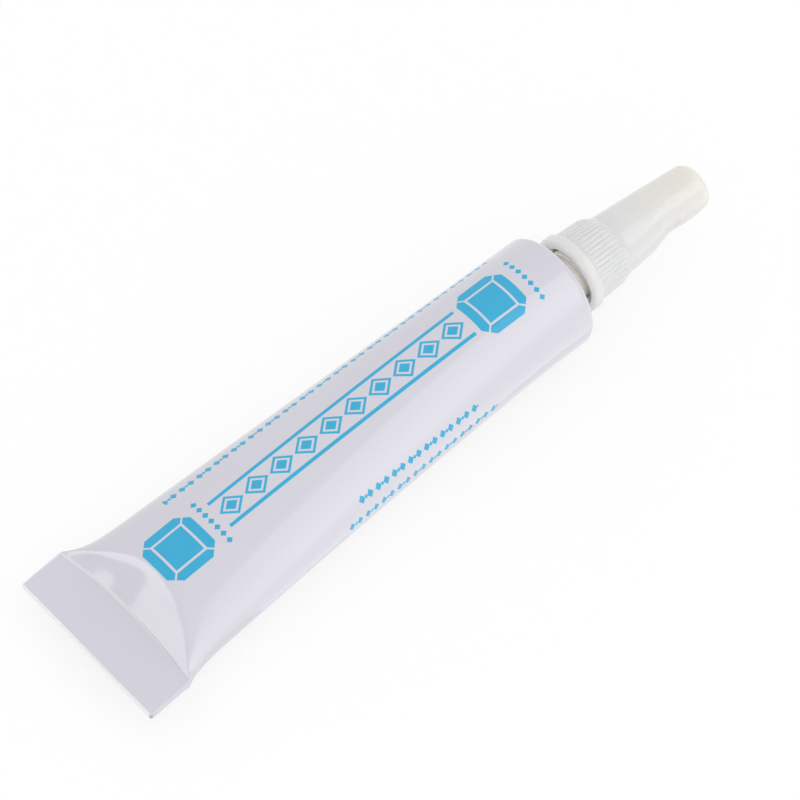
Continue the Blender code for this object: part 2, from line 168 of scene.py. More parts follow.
# The moulding isn't quite true: the collar sits to one side, and the shaft has a shallow waist on the other
OFF_TRUE = Vector((0.0, 0.89, 0.45))
COLLAR_SHIFT = 0.0002
SHAFT_SHIFT = 0.00005
WAIST_HEIGHT = 0.0156
WAIST_DEPTH = 0.00054
WAIST_REACH_LOW = 0.0022
WAIST_REACH_HIGH = 0.0029
WAIST_SPREAD = 1.5

# Fineness of the meshes
QUARTER_POINTS = 44
SIDE_POINTS = 32
TAIL_RINGS = 8
BAND_RINGS = 16
INNER_EDGE_RINGS = 6
RAMP_RINGS = 26
RUNOUT_RINGS = 10
BODY_RINGS = 70
SHOULDER_RINGS = 10
NECK_RINGS = 72
FILLET_RINGS = 5
POINTS_PER_RIB = 8
CAP_POINTS = RIBS * POINTS_PER_RIB
TURNED_POINTS = 72
ROUND_STEPS = 7
ROUND_LIMIT = 2.5
CREASE_PASSES = 20
SHAFT_RINGS = 60
DOME_RINGS = 16
COLLAR_RINGS = 18
CAP_THREAD_RINGS = 50

# Worked out from the sizes above
ROUND_FROM = TUBE_LENGTH - ROUND_LENGTH
TAPER_FROM = FOLD_DEPTH + FLARE_LENGTH
RAMP_APEX = FOLD_DEPTH + RAMP_LENGTH
STRAIGHT_FROM = RAMP_APEX + RAMP_RUNOUT
FOLD_THICKNESS = FOLD_LAYERS * WALL
RAMP_FOOT = FOLD_THICKNESS - WALL - FOLD_INNER_DROP
FOLD_HALF_WIDTH = (pi * TUBE_RADIUS - WALL) / 2
AXIS_HEIGHT = TUBE_RADIUS - REST_FLAT
NECK_BORE_RADIUS = NECK_ROOT_RADIUS - NECK_WALL
THREAD_END = NECK_LENGTH - NECK_CHAMFER
HUB_SEAT = NECK_LENGTH + FIT_GAP
HUB_FLANGE_TOP = HUB_SEAT + HUB_FLANGE_HEIGHT
HUB_TIP = HUB_FLANGE_TOP + HUB_CONE_HEIGHT
HUB_FOOT = HUB_SEAT - HUB_PLUG_DEPTH
NEEDLE_FOOT = HUB_FOOT + NEEDLE_SETBACK
NEEDLE_TOP = NEEDLE_FOOT + NEEDLE_LENGTH
WIRE_FOOT = HUB_TIP - WIRE_REACH
WIRE_TOP = CAP_GAP + SOCKET_TOP - FIT_GAP
TAIL_X = -(TUBE_LENGTH + CAP_GAP + CAP_LENGTH) / 2
NECK_X = TAIL_X + TUBE_LENGTH
CAP_X = NECK_X + CAP_GAP

# Label, in millimetres: along from the tail, round from the tube's top line
MM_PER_METRE = 1000
SHEET_SCALE = 100.0
LABEL_MIDDLE = 42.0
LABEL_CENTRE = -0.24
LABEL_DRIFT = 0.022
RULE_FROM = 22.2
RULE_TO = 61.7
RULE_OFFSET = 2.12
RULE_HALF_WIDTH = 0.25
LOZENGES = 10
LOZENGE_HALF_LENGTH = 1.85
LOZENGE_HALF_HEIGHT = 1.62
LOZENGE_LINE = 0.62
LOZENGE_LINE_HALF_WIDTH = 0.11
PANEL_PLACES = (15.9, 66.2)
PANEL_HALF_LENGTH = 3.75
PANEL_HALF_WIDTH = 3.85
PANEL_CHAMFER = 1.5
PANEL_TABLE = 1.45
PANEL_LINE = 0.16
BEAD_ROWS = ((19.0, 71.0, -7.0), (36.6, 57.0, 9.9), (34.0, 60.0, 12.4))
BEAD_PITCH = 1.36
BEAD_HALF_LENGTH = 0.52
BEAD_HALF_HEIGHT = 0.62
BEAD_DOT_SHARE = 0.5
CROSS_ROWS = (21.0, 71.7)
CROSS_HALF_WIDTH = 4.0
CROSS_PITCH = 1.15
CROSS_BEAD = 0.46
INK_EDGE = 0.07

# Colours
LACQUER = (0.606, 0.598, 0.660)
LACQUER_SHADE = (0.582, 0.572, 0.632)
# Painted highlight for the fold's rounded edges
PAINTED_EDGE_HIGHLIGHT = (0.820, 0.815, 0.850)
INK = (0.002, 0.350, 0.600)
INK_THIN = (0.012, 0.390, 0.630)
BARE_METAL = (0.42, 0.40, 0.38)
NECK_FROST = (0.92, 0.89, 0.85)
NECK_FROST_DULL = (0.84, 0.81, 0.77)
NECK_METAL = (0.70, 0.685, 0.665)
NECK_METAL_DULL = (0.58, 0.565, 0.55)
CAP_LIP = (0.675, 0.675, 0.668)
# Painted light: a lighter colour for the shaded mouth and underside of the lip
CAP_MOUTH_PAINTED_LIGHT = (0.90, 0.885, 0.855)
CAP_FOOT = (0.672, 0.676, 0.678)
CAP_TIP = (0.725, 0.705, 0.665)
CAP_STAIN = (0.74, 0.71, 0.62)
HUB_COLOUR = (0.70, 0.70, 0.67)
HUB_SHADE = (0.62, 0.62, 0.60)
STEEL = (0.60, 0.59, 0.57)
STEEL_DULL = (0.47, 0.46, 0.45)
GLUE = (0.80, 0.74, 0.55)
GLUE_PALE = (0.86, 0.82, 0.68)
FLOOR = (0.965, 0.965, 0.965)
FLOOR_GRAIN = (0.93, 0.93, 0.93)

# Painted highlight lines along the fold's edges, and wear of the fold: millimetres along, and across in
# millimetres or shares of its half-width
EDGE_SOFT = 0.3
INNER_LINE_SOFT = 0.2
INNER_LINE_END = 0.97
INNER_LINE_FADE_AT = 0.25
INNER_LINE_FADE = 1.0
INNER_LINE_WEIGHT = 0.5
END_LINE = 0.02
END_LINE_WEIGHT = 0.6
WORN_FROM = 2.5
WORN_FADE = 2.0
WORN_SOFT = 0.5
SPECK_SCALE = 1400.0
SPECK_LIMIT = 0.735
SPECK_EDGE = 0.02
CHIP_SIZE = 0.45
CHIP_EDGE = 0.2

# Surfaces: scales per metre, roughness from least to most, heights of bumps in metres
LACQUER_CLOUD = 55.0
LACQUER_CLOUD_RANGE = (-0.2, 1.2)
LACQUER_FINE = 900.0
LACQUER_ROUGHNESS = (0.09, 0.17)
LACQUER_COAT = 0.6
LACQUER_COAT_ROUGHNESS = 0.06
LACQUER_PEEL = 420.0
LACQUER_BUMP = 0.000012
INK_CLOUD = 600.0
INK_COVER = 0.97
INK_RISE = 0.6
NECK_LINES = (9000.0, 160.0, 160.0)
NECK_SMEAR = 700.0
NECK_FROST_METALLIC = 0.45
NECK_ROUGHNESS = (0.3, 0.5)
NECK_BUMP = 0.00001
CAP_CLOUD = 260.0
CAP_MOTTLE = 0.3
CAP_LIP_FADE = 0.0012
CAP_SUBSURFACE = 0.8
CAP_SUBSURFACE_RADIUS = (1.0, 0.95, 0.8)
CAP_SUBSURFACE_DEPTH = 0.0025
CAP_ROUGHNESS = (0.06, 0.12)
CAP_GRAIN = 2600.0
CAP_FLOW_LINES = (60.0, 900.0, 900.0)
CAP_BUMP = 0.000006
STAIN_SCALE = 170.0
STAIN_LIMIT = 0.5
STAIN_EDGE = 0.4
STAIN_FROM = 0.5
STAIN_FADE = 0.5
STAIN_SIDE = 0.0012
STAIN_SIDE_FADE = 0.003
STAIN_WEIGHT = 0.6
HUB_CLOUD = 420.0
HUB_SUBSURFACE = 0.3
HUB_SUBSURFACE_DEPTH = 0.0006
HUB_ROUGHNESS = (0.3, 0.5)
HUB_GRAIN = 3000.0
HUB_BUMP = 0.000006
STEEL_LINES = (120.0, 9000.0, 9000.0)
STEEL_DULL_SHARE = 0.75
STEEL_SMOOTHER = 0.06
STEEL_ROUGHER = 0.1
STEEL_BUMP = 0.000003
NEEDLE_ROUGHNESS = 0.22
WIRE_ROUGHNESS = 0.3
GLUE_CLOUD = 140.0
GLUE_CLEARNESS = 0.6
GLUE_IOR = 1.46
GLUE_ROUGHNESS = (0.03, 0.12)
GLUE_RIPPLE = 300.0
GLUE_BUMP = 0.00002
FLOOR_GRAIN_SCALE = 300.0
FLOOR_ROUGHNESS = 0.9
FLOOR_REACH = 4.0
FLOOR_HEIGHT = -0.00002

# Light and camera
FILL_LIGHT = 0.96
FLOOR_GLOW = 0.78
KEY_RADIANCE = 0.34
KEY_DISTANCE = 1.1
CARD_RADIANCE = 1.77
CARD_DISTANCE = 0.9
CARD_FROM_X = 0.03
CARD_TO_X = 0.90
SOFTBOX_EDGE_ANGLE = radians(14.5)
SOFTBOX_LOW_ANGLE = radians(90.0)
SOFTBOX_LENGTH = 2.4
CARD_BRIGHTEST = 0.40
CARD_FLOOR_SHARE = 0.45
CARD_TOP_SHARE = 0.62
CARD_TAIL_SHARE = 0.60
CARD_CORNER_FROM = 0.72
CARD_CORNER_TOP = 0.36
CARD_CORNER_FADE = 0.20
CARD_CORNER_SHARE = 0.20
LOW_CARD_RADIANCE = 0.52
LOW_CARD_FROM_X = -0.03
LOW_CARD_TO_X = 0.80
LOW_CARD_NEAR = 0.012
LOW_CARD_REACH = 1.1
LOW_CARD_HEIGHT = 0.0004
TAIL_CARD_RADIANCE = 1.75
TAIL_CARD_DISTANCE = 0.8
TAIL_CARD_FROM = radians(130.0)
TAIL_CARD_TO = radians(152.6)
TAIL_CARD_TOP = radians(44.0)
CAMERA_AZIMUTH = radians(-41.92)
CAMERA_ELEVATION = radians(55.1)
CAMERA_DISTANCE = 0.420
CAMERA_SENSOR = 36.0
CAMERA_LENS = 150.4
CAMERA_AIM = Vector((0.000475, 0.0, 0.006))
AIM_RIGHT = -0.00068
AIM_UP = 0.000714


def spread(start, end, count):
    """Evenly spaced values from start to end, with count steps between them."""
    return [start + (end - start) * i / count for i in range(count + 1)]


def smooth_step(value):
    """0 to 1, level at both ends."""
    value = max(0.0, min(1.0, value))
    return value * value * (3 - 2 * value)


# Sections of the tube


def half_height(half_width):
    """Half-height of a section: the sheet doesn't stretch, so every section keeps the tube's perimeter."""
    low, high = 0.0, TUBE_RADIUS
    for _ in range(HALVINGS):
        middle = (low + high) / 2
        unlike = ((half_width - middle) / (half_width + middle)) ** 2
        perimeter = pi * (half_width + middle) * (1 + 3 * unlike / (10 + sqrt(4 - 3 * unlike)))
        if perimeter < tau * TUBE_RADIUS:
            low = middle
        else:
            high = middle
    return low


def taper_half_width(x):
    share = max(0.0, (ROUND_FROM - x) / (ROUND_FROM - TAPER_FROM))
    return TUBE_RADIUS + TAPER_SPREAD * share**TAPER_POWER


def half_width(x, turn):
    """Half the tube's width: tapered to the round end, flared to the fold, more sharply on the near side."""
    if x >= TAPER_FROM:
        return taper_half_width(x)
    share = min(1.0, (TAPER_FROM - x) / (TAPER_FROM - FOLD_DEPTH))
    end = taper_half_width(TAPER_FROM)
    near = smooth_step(0.5 - NEAR_SIDE_SHARPNESS * cos(turn))
    power = FLARE_POWER + (NEAR_FLARE_POWER - FLARE_POWER) * near
    return end + (FOLD_HALF_WIDTH - end) * share**power


TAIL_HALF_HEIGHT = half_height(taper_half_width(TAPER_FROM))
TAIL_MIDDLE = TAIL_HALF_HEIGHT - REST_FLAT


def ring_turns():
    """Angles round a section from its underside, close together at the sides, where folded layers end."""
    rim = asin(1 / RIM_SHARPNESS)
    quarter = spread(-pi / 2, -rim, QUARTER_POINTS)[:-1]
    side = [asin(share / RIM_SHARPNESS) for share in spread(-1.0, 1.0, SIDE_POINTS)]
    right = quarter + side + [-turn for turn in reversed(quarter)]
    left = [pi - turn for turn in reversed(right[1:-1])]
    return right + left


TURNS = ring_turns()
TOP_POINT = len(TURNS) // 2


def fold_edge(turn):
    """Where the folded layer ends beside the ramp: bowed, with rounded corners."""
    across = cos(turn)
    edge = FOLD_DEPTH + FOLD_BOW * (1 - across**2)
    into_corner = 1 - (1 - abs(across)) * FOLD_HALF_WIDTH / FOLD_CORNER
    if into_corner > 0:
        edge -= FOLD_CORNER * (1 - sqrt(1 - into_corner**2))
    return edge


def crease(turn):
    """Where the ramp meets the body: an arch from one inner corner of the fold to the other."""
    share = RAMP_SIDE_SHARE + (1 - RAMP_SIDE_SHARE) * abs(sin(turn)) ** RAMP_ARCH_POWER
    return fold_edge(turn) + share * (RAMP_APEX - fold_edge(turn))


def flat_side(turn):
    """-1 to 1: a flat plate's height around a section, with a narrow rounded rim."""
    return max(-1.0, min(1.0, RIM_SHARPNESS * sin(turn)))


def layer_groove(side):
    """Depth of the grooves between the folded layers, at a height of -1 to 1 on the fold's end."""
    depth = 0.0
    for layer in range(1, FOLD_LAYERS):
        apart = side - (2 * layer / FOLD_LAYERS - 1)
        depth += LAYER_GROOVE * exp(-((apart / LAYER_GROOVE_WIDTH) ** 2))
    return depth


def ramp_swell(share, y):
    height = 0.0
    for along, across, rise, reach_along, reach_across in RAMP_SWELLS:
        height += rise * exp(-(((share - along) / reach_along) ** 2) - ((y - across) / reach_across) ** 2)
    return height


def fold_lift(x, y):
    """The ramp's swellings run a little way into the upper face of the fold."""
    return ramp_swell(0.0, y) * smooth_step(1 + (x - FOLD_DEPTH) / FOLD_LIFT_REACH)


def plate_ring(x_of, low, high, narrowing):
    ring = []
    for turn in TURNS:
        side = flat_side(turn)
        x = x_of(turn)
        y = (FOLD_HALF_WIDTH - narrowing - layer_groove(side)) * cos(turn)
        wave = FOLD_WAVE * sin(FOLD_WAVE_TURN * y + FOLD_WAVE_START) * smooth_step(1 - x / FOLD_DEPTH)
        lift = wave + max(0.0, side) * fold_lift(x, y)
        ring.append((x, y, (low + high) / 2 + (high - low) / 2 * side + lift))
    return ring


def fold_rings():
    """The folded band: rounded tail edge, flat faces, rounded inner edge on the upper side."""
    low = TAIL_MIDDLE - WALL
    high = low + FOLD_THICKNESS
    rings = []
    for turn in spread(0.0, pi / 2, TAIL_RINGS):
        drop = FOLD_TAIL_ROUND * (1 - sin(turn))
        x = FOLD_TAIL_ROUND * (1 - cos(turn))
        rings.append(plate_ring(lambda _, x=x: x, low + drop, high - drop, drop / 2))
    for share in spread(0.0, 1.0, BAND_RINGS)[1:]:
        start = FOLD_TAIL_ROUND

        def band(turn, share=share):
            return start + share * (fold_edge(turn) - FOLD_INNER_ROUND - start)

        rings.append(plate_ring(band, low, high, 0.0))
    for turn in spread(0.0, pi / 2, INNER_EDGE_RINGS)[1:]:
        back = FOLD_INNER_ROUND * (1 - sin(turn))
        drop = FOLD_INNER_DROP * (1 - cos(turn))
        rings.append(plate_ring(lambda t, back=back: fold_edge(t) - back, low, high - drop, 0.0))
    return rings


def ramp_ring(share):
    """A ring across the ramp: share 0 is the edge of the fold, 1 the crease."""
    ring = []
    rise = share**RAMP_DISH_POWER
    for turn in TURNS:
        x = fold_edge(turn) + FOLD_STEP + share * (crease(turn) - fold_edge(turn) - FOLD_STEP)
        wide = half_width(x, turn)
        y = (wide + (FOLD_HALF_WIDTH - wide) * (1 - share) ** 2) * cos(turn)
        side = flat_side(turn)
        foot = side * (RAMP_FOOT if side > 0 else WALL)
        height = foot + rise * (TAIL_HALF_HEIGHT * sin(turn) - foot) + max(0.0, side) * ramp_swell(share, y)
        ring.append((x, y, max(TAIL_MIDDLE + height, 0.0)))
    return ring


def body_ring(x_of):
    ring = []
    for turn in TURNS:
        x = x_of(turn)
        tall = half_height(taper_half_width(max(x, TAPER_FROM)))
        z = tall - REST_FLAT + tall * sin(turn)
        ring.append((x, half_width(x, turn) * cos(turn), max(z, 0.0)))
    return ring


def round_ring(x, radius, swell=None):
    """A round ring about the tube's axis; swell adds to the radius by angle."""
    ring = []
    for turn in TURNS:
        here = radius + (swell(turn) if swell else 0.0)
        ring.append((x, here * cos(turn), max(AXIS_HEIGHT + here * sin(turn), 0.0)))
    return ring


def thread_share(height, turn):
    """0 at the root and 1 on the crest of a right-hand thread."""
    from_crest = abs((height / THREAD_PITCH - turn / tau) % 1.0 - 0.5)
    return smooth_step((THREAD_CREST_SHARE / 2 + THREAD_FLANK_SHARE - from_crest) / THREAD_FLANK_SHARE)


def thread_fade(height, low, high):
    """The thread runs in and out over a short height at both ends."""
    return smooth_step((height - low) / THREAD_RUNOUT) * smooth_step((high - height) / THREAD_RUNOUT)


def body_rings():
    rings = [ramp_ring(share) for share in spread(0.0, 1.0, RAMP_RINGS)]
    for share in spread(0.0, 1.0, RUNOUT_RINGS)[1:]:

        def runout(turn, share=share):
            return crease(turn) + share * (STRAIGHT_FROM - crease(turn))

        rings.append(body_ring(runout))
    for x in spread(STRAIGHT_FROM, TUBE_LENGTH - SHOULDER_RADIUS, BODY_RINGS)[1:]:
        rings.append(body_ring(lambda turn, x=x: x))
    return rings


def soften_crease(rings, first, last):
    """Rounds the folds between two rings by drawing each ring towards its neighbours, a few times over."""
    for _ in range(CREASE_PASSES):
        kept = [list(ring) for ring in rings]
        for i in range(first, last + 1):
            for j in range(len(TURNS)):
                before, here, after = (Vector(kept[i + step][j]) for step in (-1, 0, 1))
                rings[i][j] = tuple((before + 2 * here + after) / 4)


def neck_swell(height):
    fade = thread_fade(height, NECK_PLAIN, THREAD_END)
    return lambda turn: THREAD_RISE * thread_share(height, turn) * fade


def shoulder_rings():
    rings = []
    for turn in spread(0.0, pi / 2, SHOULDER_RINGS)[1:]:
        radius = TUBE_RADIUS - SHOULDER_RADIUS * (1 - cos(turn))
        rings.append(round_ring(TUBE_LENGTH - SHOULDER_RADIUS * (1 - sin(turn)), radius))
    outer = TUBE_RADIUS - SHOULDER_RADIUS
    for share in spread(0.0, 1.0, SHOULDER_RINGS)[1:]:
        radius = outer + share * (NECK_ROOT_RADIUS + NECK_FILLET - outer)
        rings.append(round_ring(TUBE_LENGTH + SHOULDER_RISE * share, radius))
    return rings


def neck_rings():
    """Up the threaded neck, over its end and down the bore to below the hub's foot."""
    rings = []
    foot = SHOULDER_RISE
    for turn in spread(0.0, pi / 2, FILLET_RINGS)[1:]:
        radius = NECK_ROOT_RADIUS + NECK_FILLET * (1 - sin(turn))
        rings.append(round_ring(TUBE_LENGTH + foot + NECK_FILLET * (1 - cos(turn)), radius))
    for height in spread(foot + NECK_FILLET, THREAD_END, NECK_RINGS)[1:]:
        rings.append(round_ring(TUBE_LENGTH + height, NECK_ROOT_RADIUS, neck_swell(height)))
    end_radius = NECK_ROOT_RADIUS - NECK_CHAMFER
    for share in spread(0.0, 1.0, FILLET_RINGS)[1:]:
        radius = NECK_ROOT_RADIUS - NECK_CHAMFER * share**2
        rings.append(round_ring(TUBE_LENGTH + THREAD_END + NECK_CHAMFER * share, radius))
    rings.append(round_ring(TUBE_LENGTH + NECK_LENGTH, (end_radius + NECK_BORE_RADIUS) / 2))
    rings.append(round_ring(TUBE_LENGTH + NECK_LENGTH, NECK_BORE_RADIUS))
    rings.append(round_ring(TUBE_LENGTH + HUB_FOOT - FIT_GAP, NECK_BORE_RADIUS))
    return rings


# Meshes


def add_object(name, points, faces):
    mesh = bpy.data.meshes.new(name)
    mesh.from_pydata(points, [], faces)
    outward = bmesh.new()
    outward.from_mesh(mesh)
    bmesh.ops.recalc_face_normals(outward, faces=outward.faces)
    outward.to_mesh(mesh)
    outward.free()
    mesh.shade_smooth()
    obj = bpy.data.objects.new(name, mesh)
    bpy.context.scene.collection.objects.link(obj)
    return obj


def skin(name, rings, end_caps=True):
    """One closed skin over rings with the same number of points, with end faces or joined to the first."""
    count = len(rings[0])
    points = [point for ring in rings for point in ring]
    faces = []
    for i in range(len(rings) - 1):
        for j in range(count):
            after = (j + 1) % count
            faces.append((i * count + j, (i + 1) * count + j, (i + 1) * count + after, i * count + after))
    last = (len(rings) - 1) * count
    if end_caps:
        faces.append(tuple(range(count)))
        faces.append(tuple(last + j for j in reversed(range(count))))
    else:
        faces += [(last + j, j, (j + 1) % count, last + (j + 1) % count) for j in range(count)]
    return add_object(name, points, faces)


def lay_sheet_map(obj, rings):
    """A flat map of the tube's sheet: distance from the tail, and distance round from the top line."""
    count = len(TURNS)
    arcs = []
    for ring in rings:
        length = [0.0]
        for j in range(count):
            length.append(length[-1] + hypot(*(a - b for a, b in zip(ring[j], ring[(j + 1) % count]))))
        arcs.append([value - length[TOP_POINT] for value in length])
    layer = obj.data.uv_layers.new(name="sheet")
    scale = MM_PER_METRE / SHEET_SCALE
    for polygon in obj.data.polygons:
        places = [divmod(index, count) for index in polygon.vertices]
        columns = {j for _, j in places}
        wraps = 0 in columns and count - 1 in columns
        for loop, (i, j) in zip(polygon.loop_indices, places):
            arc = arcs[i][count if wraps and j == 0 else j]
            layer.data[loop].uv = (rings[i][j][0] * scale, 0.5 + arc * scale)


def fold_skew(x):
    """How far the fold was pressed to one side: its ends run a little slanted."""
    if x < FOLD_DEPTH:
        return FOLD_SKEW_TAIL + (FOLD_SKEW_INNER - FOLD_SKEW_TAIL) * x / FOLD_DEPTH
    return FOLD_SKEW_INNER * smooth_step((TAPER_FROM - x) / FLARE_LENGTH)


def at_tail(rings):
    """Moves rings measured from the tail to their place in the part."""
    return [[(x + TAIL_X, y + fold_skew(x), z) for x, y, z in ring] for ring in rings]


def turned(name, profile, end_caps=True):
    """A fine skin of revolution about the tube's axis, from (radius, height) points over the shoulder."""
    rings = []
    for radius, height in profile:
        ring = []
        for i in range(TURNED_POINTS):
            turn = tau * i / TURNED_POINTS
            ring.append((NECK_X + height, radius * cos(turn), AXIS_HEIGHT + radius * sin(turn)))
        rings.append(ring)
    return skin(name, rings, end_caps)


def rounded(corners, round_radius):
    """A closed profile whose corners are cut back to small arcs."""
    points = []
    count = len(corners)
    for i in range(count):
        here = Vector(corners[i])
        before = Vector(corners[i - 1])
        after = Vector(corners[(i + 1) % count])
        longest = min((before - here).length, (after - here).length) / ROUND_LIMIT
        reach = min(round_radius, longest)
        start = here + (before - here).normalized() * reach
        end = here + (after - here).normalized() * reach
        for share in spread(0.0, 1.0, ROUND_STEPS):
            a = start.lerp(here, share)
            b = here.lerp(end, share)
            points.append(tuple(a.lerp(b, share)))
    return points


# Pieces


def build_tube():
    fold = fold_rings()
    body = body_rings()
    rings = fold + body
    soften_crease(rings, len(fold) + 1, len(fold) + RAMP_RINGS + RUNOUT_RINGS)
    rings += shoulder_rings()
    lacquered = len(rings)
    rings += neck_rings()
    tube = skin("tube_skin", at_tail(rings))
    lay_sheet_map(tube, rings)
    tube.data.materials.append(lacquer_material())
    tube.data.materials.append(neck_material())
    bare_from = (lacquered - 1) * len(TURNS)
    for polygon in tube.data.polygons:
        if min(polygon.vertices) >= bare_from:
            polygon.material_index = 1
    return tube


def build_hub():
    plug_radius = NECK_BORE_RADIUS - FIT_GAP
    flange_radius = NECK_ROOT_RADIUS - HUB_FLANGE_INSET
    hole_radius = NEEDLE_RADIUS + FIT_GAP
    corners = [
        (hole_radius, HUB_TIP),
        (hole_radius, HUB_FOOT),
        (plug_radius, HUB_FOOT),
        (plug_radius, HUB_SEAT),
        (flange_radius, HUB_SEAT),
        (flange_radius, HUB_FLANGE_TOP),
        (plug_radius, HUB_FLANGE_TOP),
        (hole_radius + HUB_TIP_WALL, HUB_TIP),
    ]
    hub = turned("hub_moulding", rounded(corners, HUB_ROUND), end_caps=False)
    hub.data.materials.append(hub_material())
    return hub


def build_needle():
    bore_radius = NEEDLE_RADIUS - NEEDLE_WALL
    corners = [
        (bore_radius, NEEDLE_TOP),
        (bore_radius, NEEDLE_FOOT),
        (NEEDLE_RADIUS, NEEDLE_FOOT),
        (NEEDLE_RADIUS, NEEDLE_TOP),
    ]
    needle = turned("needle_tube", rounded(corners, NEEDLE_ROUND), end_caps=False)
    needle.data.materials.append(steel_material("needle_steel", STEEL, NEEDLE_ROUGHNESS))
    return needle


def build_wire():
    profile = []
    for turn in spread(0.0, pi / 2, ROUND_STEPS):
        radius = WIRE_RADIUS - WIRE_ROUND * (1 - sin(turn))
        profile.append((radius, WIRE_FOOT + WIRE_ROUND * (1 - cos(turn))))
    for turn in spread(0.0, pi / 2, ROUND_STEPS):
        profile.append((WIRE_RADIUS - WIRE_ROUND * (1 - cos(turn)), WIRE_TOP - WIRE_ROUND * (1 - sin(turn))))
    wire = turned("pin_wire", profile)
    wire.data.materials.append(steel_material("wire_steel", STEEL_DULL, WIRE_ROUGHNESS))
    return wire


def cap_outside():
    """(height, radius) down the outside of the cap, from its end to the lip's lower edge."""
    tip_foot = CAP_LENGTH - TIP_ROUND
    tip_radius = SHAFT_FOOT_RADIUS - SHAFT_TAPER * (tip_foot - DOME_TOP)
    outline = [(CAP_LENGTH, share * (tip_radius - TIP_ROUND)) for share in TIP_SHARES]
    for turn in spread(pi / 2, 0.0, 2 * ROUND_STEPS):
        outline.append((tip_foot + TIP_ROUND * sin(turn), tip_radius - TIP_ROUND * (1 - cos(turn))))
    for height in spread(tip_foot, DOME_TOP, SHAFT_RINGS)[1:]:
        outline.append((height, SHAFT_FOOT_RADIUS - SHAFT_TAPER * (height - DOME_TOP)))
    for share in spread(0.0, 1.0, DOME_RINGS)[1:]:
        height = DOME_TOP + share * (COLLAR_TOP - DOME_TOP)
        shaft = SHAFT_FOOT_RADIUS - SHAFT_TAPER * (height - DOME_TOP)
        outline.append((height, shaft + (COLLAR_TOP_RADIUS - shaft) * smooth_step(share)))
    for share in spread(0.0, 1.0, COLLAR_RINGS)[1:]:
        height = COLLAR_TOP + share * (COLLAR_FOOT - COLLAR_TOP)
        outline.append((height, COLLAR_TOP_RADIUS + share * (COLLAR_FOOT_RADIUS - COLLAR_TOP_RADIUS)))
    fillet = LIP_RADIUS - LIP_ROUND - COLLAR_FOOT_RADIUS
    for turn in spread(0.0, pi / 2, ROUND_STEPS)[:-1]:
        height = LIP_HEIGHT + fillet * (1 - sin(turn))
        outline.append((height, COLLAR_FOOT_RADIUS + fillet * (1 - cos(turn))))
    for turn in spread(pi / 2, 0.0, ROUND_STEPS):
        outline.append((LIP_HEIGHT - LIP_ROUND * (1 - sin(turn)), LIP_RADIUS - LIP_ROUND * (1 - cos(turn))))
    for turn in spread(0.0, pi / 2, ROUND_STEPS):
        outline.append((LIP_FOOT_ROUND * (1 - sin(turn)), LIP_RADIUS - LIP_FOOT_ROUND * (1 - cos(turn))))
    return outline


def cap_inside():
    """(height, radius) up the inside, from the mouth over the thread to the wire's socket."""
    outline = []
    for turn in spread(0.0, pi / 2, ROUND_STEPS):
        outline.append((MOUTH_ROUND * (1 - cos(turn)), MOUTH_RADIUS + MOUTH_ROUND * (1 - sin(turn))))
    outline.append((MOUTH_DEPTH, MOUTH_RADIUS))
    for height in spread(MOUTH_DEPTH, CAP_SEAT, CAP_THREAD_RINGS):
        outline.append((height, CAP_THREAD_ROOT))
    outline.append((CAP_SEAT + SEAT_SLOPE, BORE_RADIUS))
    outline.append((BORE_TOP, BORE_RADIUS - BORE_DRAFT))
    outline.append((BORE_TOP, SOCKET_RADIUS))
    outline.append((SOCKET_TOP, SOCKET_RADIUS))
    return outline


def rib_sink(height, turn):
    """Fine upright ribs on the collar: rounded crests with narrower valleys, fading out at both ends."""
    foot_fade = smooth_step((height - COLLAR_FOOT) / RIB_FADE + RIB_FOOT_SHARE)
    fade = foot_fade * smooth_step((RIB_TOP - height) / RIB_FADE)
    return RIB_DEPTH * fade * (0.5 + 0.5 * cos(RIBS * turn)) ** RIB_SHARPNESS


def waist_sink(height, turn):
    """A shallow hollow on one side of the shaft."""
    reach = WAIST_REACH_LOW if height < WAIST_HEIGHT else WAIST_REACH_HIGH
    facing = max(0.0, -cos(turn - atan2(OFF_TRUE.z, OFF_TRUE.y)))
    return WAIST_DEPTH * exp(-(((height - WAIST_HEIGHT) / reach) ** 2)) * facing**WAIST_SPREAD


def thread_sink(height, turn):
    """The cap's thread: a groove that is open at the mouth and runs out at the seat."""
    fade = smooth_step((CAP_SEAT - height) / THREAD_RUNOUT)
    return -THREAD_RISE * thread_share(height + CAP_GAP, turn) * fade


def cap_ring(height, radius, sink=None, shift=0.0):
    ring = []
    for i in range(CAP_POINTS):
        turn = tau * i / CAP_POINTS
        here = radius - (sink(height, turn) if sink else 0.0)
        y = here * cos(turn) + shift * OFF_TRUE.y
        z = here * sin(turn) + shift * OFF_TRUE.z
        ring.append((CAP_X + height, y, AXIS_HEIGHT + z))
    return ring


def build_cap():
    rings = []
    for height, radius in cap_outside():
        off_shaft = smooth_step((DOME_TOP - height) / (DOME_TOP - COLLAR_TOP))
        shift = SHAFT_SHIFT + (COLLAR_SHIFT - SHAFT_SHIFT) * off_shaft
        sink = waist_sink if height > DOME_TOP else rib_sink
        if height < COLLAR_FOOT:
            sink = None
        rings.append(cap_ring(height, radius, sink, shift))
    for height, radius in cap_inside():
        threaded = radius == CAP_THREAD_ROOT
        rings.append(cap_ring(height, radius, thread_sink if threaded else None))
    cap = skin("cap_moulding", rings)
    cap.data.materials.append(cap_material())
    return cap


# Materials


